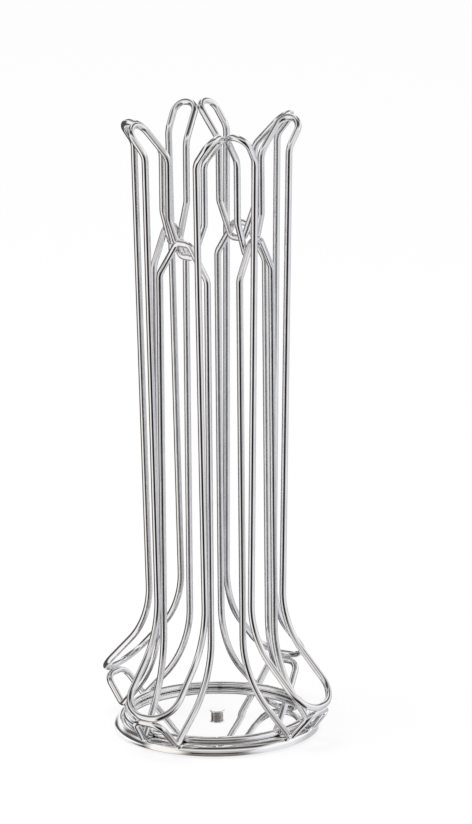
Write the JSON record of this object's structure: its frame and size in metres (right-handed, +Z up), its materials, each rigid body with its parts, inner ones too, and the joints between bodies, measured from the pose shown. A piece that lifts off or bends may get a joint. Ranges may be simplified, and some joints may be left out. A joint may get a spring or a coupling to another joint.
{
  "type": "coffee capsule holder",
  "caption": "Revolving chrome wire coffee capsule holder: upright wire columns with flared petal tops and open pockets at the bottom, on a round polished plate that spins on a flat foot.",
  "frame": {"origin": "centre of the foot's underside, on the table", "axes": "+Z up along the turning axis; at rest the columns face +X, +Y, -X and -Y"},
  "size_m": [0.1592, 0.1592, 0.3886],
  "materials": {
    "wire_chrome": "bright chrome-plated steel wire",
    "plate_chrome": "mirror-polished chrome-plated sheet steel",
    "pivot_steel": "plated steel, turned",
    "foot_steel": "zinc-plated sheet steel",
    "glide_plastic": "natural low-friction plastic",
    "mat_rubber": "black anti-slip rubber"
  },
  "bodies": {
    "foot": {"foot_mat": "mat_rubber", "foot_disc": "foot_steel", "glide_ring": "glide_plastic", "pivot_bush": "pivot_steel", "pivot_rivet": "pivot_steel"},
    "carousel": {"base_plate": "plate_chrome", "base_ring": "wire_chrome", "front_loop_1": "wire_chrome", "front_loop_2": "wire_chrome", "front_loop_3": "wire_chrome", "front_loop_4": "wire_chrome", "rear_rail_1": "wire_chrome", "rear_rail_2": "wire_chrome", "rear_rail_3": "wire_chrome", "rear_rail_4": "wire_chrome"}
  },
  "joints": [
    {"name": "carousel_spin", "type": "hinge", "parent": "foot", "child": "carousel", "pos_m": [0, 0, 0.0075], "axis": [0, 0, 1], "continuous": true}
  ]
}
